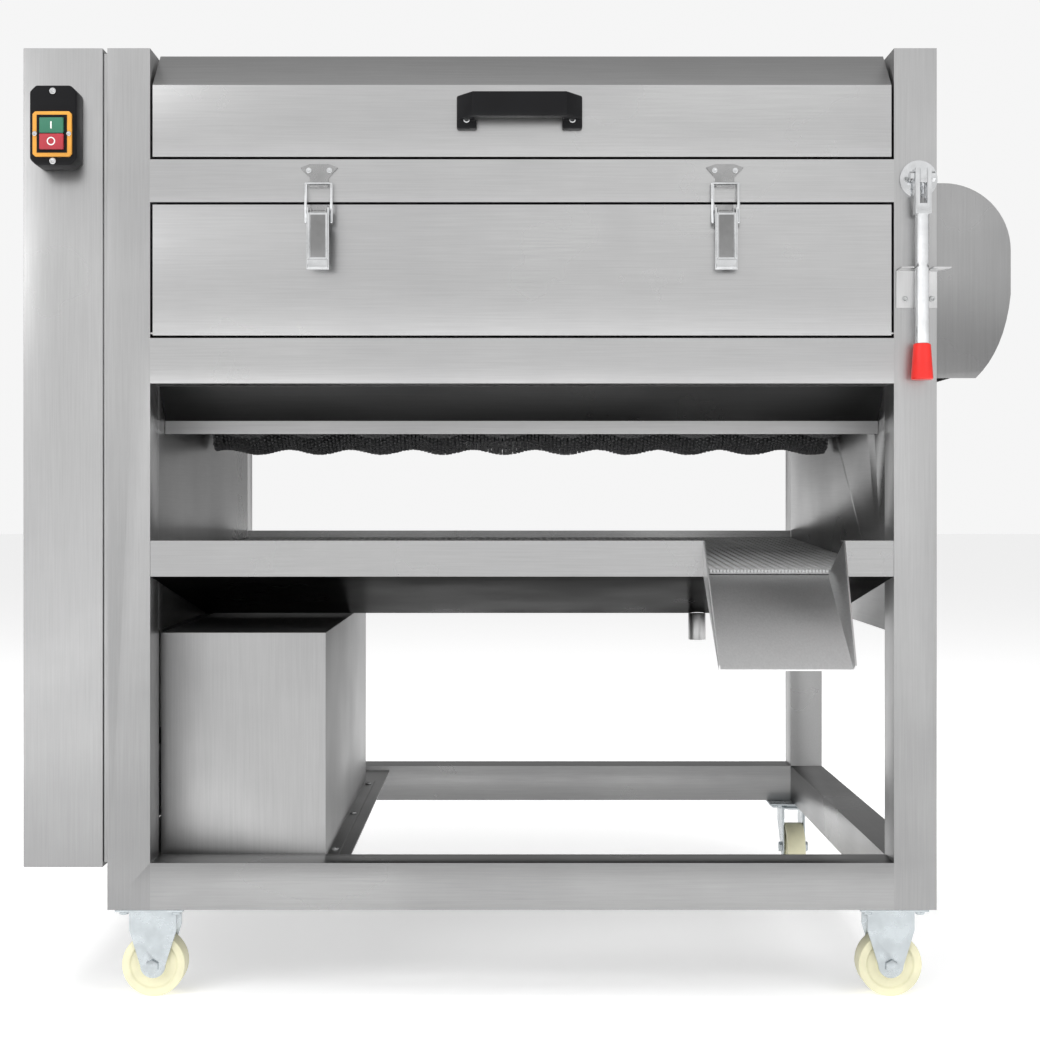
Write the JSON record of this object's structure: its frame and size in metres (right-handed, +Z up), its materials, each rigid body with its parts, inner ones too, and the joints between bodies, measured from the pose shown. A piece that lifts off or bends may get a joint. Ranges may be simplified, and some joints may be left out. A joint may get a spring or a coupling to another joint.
{
  "type": "brush roller potato peeler",
  "caption": "Floor-standing stainless potato peeler: brush rollers in a U turned by chains, lid, latched door, peel chute, lever-worked gate and spout, on casters.",
  "frame": {"origin": "middle of the footprint's bounding box, on the floor", "axes": "+X to the right seen from the front, along the rollers, +Y to the back, +Z up"},
  "size_m": [1.2266, 0.938, 1.1299],
  "materials": {
    "frame_tube": "brushed stainless tube",
    "sheet_steel": "brushed stainless sheet, grain along the long side",
    "end_plate_steel": "brushed stainless plate",
    "dark_sheet": "stainless sheet, duller",
    "pipe_steel": "drawn stainless pipe",
    "hinge_steel": "satin stainless",
    "latch_zinc": "bright zinc plating",
    "latch_chrome": "bright plating",
    "lever_chrome": "polished steel",
    "black_plastic": "moulded black plastic",
    "yellow_plastic": "moulded amber plastic",
    "green_plastic": "moulded green plastic",
    "red_plastic": "moulded red plastic",
    "knob_plastic": "moulded red plastic",
    "chain_steel": "oiled dark steel",
    "motor_paint": "grey-blue enamel",
    "caster_zinc": "zinc plated pressed steel",
    "wheel_nylon": "cream nylon",
    "bristle_nylon": "black nylon bristle"
  },
  "bodies": {
    "base": {"frame": "frame_tube", "motor_base": "sheet_steel", "end_plate_left": "end_plate_steel", "end_plate_right": "end_plate_steel", "front_apron": "dark_sheet", "back_panel": "sheet_steel", "tray": "sheet_steel", "drain_pipe": "pipe_steel", "tray_screen": "dark_sheet", "chute": "sheet_steel", "lid_hinge_left": "hinge_steel", "lid_hinge_right": "hinge_steel", "latch_catch_left": "latch_zinc", "latch_catch_right": "latch_zinc", "drive_guard": "sheet_steel", "switch_box": "black_plastic", "switch_bezel": "yellow_plastic", "lever_flange": "lever_chrome", "lever_guide": "sheet_steel", "gate_pin": "hinge_steel", "discharge_spout": "sheet_steel", "motor_cover": "sheet_steel", "gear_motor": "motor_paint", "roller_chain": "chain_steel", "drive_chain": "chain_steel", "spray_pipe": "pipe_steel", "rigid_fork_left": "caster_zinc", "rigid_fork_right": "caster_zinc", "swivel_plate_left": "caster_zinc", "swivel_plate_right": "caster_zinc"},
    "lid_body": {"lid": "sheet_steel", "lid_handle": "black_plastic"},
    "door_body": {"front_door": "sheet_steel", "latch_base_left": "latch_zinc", "latch_base_right": "latch_zinc"},
    "latch_left": {"latch_lever_left": "latch_chrome"},
    "latch_right": {"latch_lever_right": "latch_chrome"},
    "bail_left": {"latch_bail_left": "latch_chrome"},
    "bail_right": {"latch_bail_right": "latch_chrome"},
    "start": {"start_button": "green_plastic"},
    "stop": {"stop_button": "red_plastic"},
    "lever": {"gate_lever": "lever_chrome", "lever_knob": "knob_plastic"},
    "gate_body": {"gate": "sheet_steel"},
    "drive": {"drive_sprocket": "chain_steel"},
    "front_wheel_l": {"front_wheel_left": "wheel_nylon"},
    "front_wheel_r": {"front_wheel_right": "wheel_nylon"},
    "swivel_l": {"swivel_fork_left": "caster_zinc"},
    "swivel_r": {"swivel_fork_right": "caster_zinc"},
    "back_wheel_l": {"back_wheel_left": "wheel_nylon"},
    "back_wheel_r": {"back_wheel_right": "wheel_nylon"},
    "roller_1": {"brush_roller_1": "bristle_nylon"},
    "roller_2": {"brush_roller_2": "bristle_nylon"},
    "roller_3": {"brush_roller_3": "bristle_nylon"},
    "roller_4": {"brush_roller_4": "bristle_nylon"},
    "roller_5": {"brush_roller_5": "bristle_nylon"},
    "roller_6": {"brush_roller_6": "bristle_nylon"},
    "roller_7": {"brush_roller_7": "bristle_nylon"},
    "roller_8": {"brush_roller_8": "bristle_nylon"},
    "roller_9": {"brush_roller_9": "bristle_nylon"}
  },
  "joints": [
    {"name": "lid_hinge", "type": "hinge", "parent": "base", "child": "lid_body", "pos_m": [-0.03, 0.4187, 1.125], "axis": [-1, 0, 0], "range_deg": [0, 95]},
    {"name": "door_hinge", "type": "hinge", "parent": "base", "child": "door_body", "pos_m": [-0.03, -0.317, 0.784], "axis": [1, 0, 0], "range_deg": [0, 90]},
    {"name": "latch_left_lever", "type": "hinge", "parent": "door_body", "child": "latch_left", "pos_m": [-0.267, -0.33, 0.924], "axis": [-1, 0, 0], "range_deg": [0, 140]},
    {"name": "latch_left_bail", "type": "hinge", "parent": "latch_left", "child": "bail_left", "pos_m": [-0.267, -0.33, 0.912], "axis": [-1, 0, 0], "range_deg": [-140, 0]},
    {"name": "latch_right_lever", "type": "hinge", "parent": "door_body", "child": "latch_right", "pos_m": [0.207, -0.33, 0.924], "axis": [-1, 0, 0], "range_deg": [0, 140]},
    {"name": "latch_right_bail", "type": "hinge", "parent": "latch_right", "child": "bail_right", "pos_m": [0.207, -0.33, 0.912], "axis": [-1, 0, 0], "range_deg": [-140, 0]},
    {"name": "start_press", "type": "slide", "parent": "base", "child": "start", "axis": [0, 1, 0], "range_m": [0, 0.0025], "stiffness_N_per_m": 300},
    {"name": "stop_press", "type": "slide", "parent": "base", "child": "stop", "axis": [0, 1, 0], "range_m": [0, 0.0025], "stiffness_N_per_m": 300},
    {"name": "gate_lever_pivot", "type": "hinge", "parent": "base", "child": "lever", "pos_m": [0.433, -0.341, 0.963], "axis": [-1, 0, 0], "range_deg": [0, 100]},
    {"name": "gate_hinge", "type": "hinge", "parent": "base", "child": "gate_body", "pos_m": [0.4138, 0.074, 0.982], "axis": [0, -1, 0], "range_deg": [0, 60]},
    {"name": "roller_1_spin", "type": "hinge", "parent": "base", "child": "roller_1", "pos_m": [-0.03, -0.186, 0.962], "axis": [1, 0, 0], "continuous": true},
    {"name": "roller_2_spin", "type": "hinge", "parent": "base", "child": "roller_2", "pos_m": [-0.03, -0.16621, 0.8625], "axis": [1, 0, 0], "continuous": true},
    {"name": "roller_3_spin", "type": "hinge", "parent": "base", "child": "roller_3", "pos_m": [-0.03, -0.10985, 0.77815], "axis": [1, 0, 0], "continuous": true},
    {"name": "roller_4_spin", "type": "hinge", "parent": "base", "child": "roller_4", "pos_m": [-0.03, -0.0255, 0.72179], "axis": [1, 0, 0], "continuous": true},
    {"name": "roller_5_spin", "type": "hinge", "parent": "base", "child": "roller_5", "pos_m": [-0.03, 0.074, 0.702], "axis": [1, 0, 0], "continuous": true},
    {"name": "roller_6_spin", "type": "hinge", "parent": "base", "child": "roller_6", "pos_m": [-0.03, 0.1735, 0.72179], "axis": [1, 0, 0], "continuous": true},
    {"name": "roller_7_spin", "type": "hinge", "parent": "base", "child": "roller_7", "pos_m": [-0.03, 0.25785, 0.77815], "axis": [1, 0, 0], "continuous": true},
    {"name": "roller_8_spin", "type": "hinge", "parent": "base", "child": "roller_8", "pos_m": [-0.03, 0.31421, 0.8625], "axis": [1, 0, 0], "continuous": true},
    {"name": "roller_9_spin", "type": "hinge", "parent": "base", "child": "roller_9", "pos_m": [-0.03, 0.334, 0.962], "axis": [1, 0, 0], "continuous": true},
    {"name": "drive_spin", "type": "hinge", "parent": "base", "child": "drive", "pos_m": [-0.53, 0.074, 0.26], "axis": [1, 0, 0], "continuous": true},
    {"name": "front_wheel_l_spin", "type": "hinge", "parent": "base", "child": "front_wheel_l", "pos_m": [-0.467, -0.279, 0.0375], "axis": [0, 1, 0], "continuous": true},
    {"name": "swivel_l_turn", "type": "hinge", "parent": "base", "child": "swivel_l", "pos_m": [-0.467, 0.427, 0.1], "axis": [0, 0, 1], "continuous": true},
    {"name": "back_wheel_l_spin", "type": "hinge", "parent": "swivel_l", "child": "back_wheel_l", "pos_m": [-0.467, 0.407, 0.0375], "axis": [1, 0, 0], "continuous": true},
    {"name": "front_wheel_r_spin", "type": "hinge", "parent": "base", "child": "front_wheel_r", "pos_m": [0.407, -0.279, 0.0375], "axis": [0, 1, 0], "continuous": true},
    {"name": "swivel_r_turn", "type": "hinge", "parent": "base", "child": "swivel_r", "pos_m": [0.407, 0.427, 0.1], "axis": [0, 0, 1], "continuous": true},
    {"name": "back_wheel_r_spin", "type": "hinge", "parent": "swivel_r", "child": "back_wheel_r", "pos_m": [0.407, 0.407, 0.0375], "axis": [1, 0, 0], "continuous": true}
  ],
  "couplings": [
    {"joint": "latch_left_bail", "follows": "latch_left_lever", "ratio": -1},
    {"joint": "latch_right_bail", "follows": "latch_right_lever", "ratio": -1},
    {"joint": "gate_hinge", "follows": "gate_lever_pivot", "ratio": 0.6},
    {"joint": "roller_2_spin", "follows": "roller_1_spin", "ratio": 1},
    {"joint": "roller_3_spin", "follows": "roller_1_spin", "ratio": 1},
    {"joint": "roller_4_spin", "follows": "roller_1_spin", "ratio": 1},
    {"joint": "roller_5_spin", "follows": "roller_1_spin", "ratio": 1},
    {"joint": "roller_6_spin", "follows": "roller_1_spin", "ratio": 1},
    {"joint": "roller_7_spin", "follows": "roller_1_spin", "ratio": 1},
    {"joint": "roller_8_spin", "follows": "roller_1_spin", "ratio": 1},
    {"joint": "roller_9_spin", "follows": "roller_1_spin", "ratio": 1},
    {"joint": "drive_spin", "follows": "roller_1_spin", "ratio": 1}
  ]
}
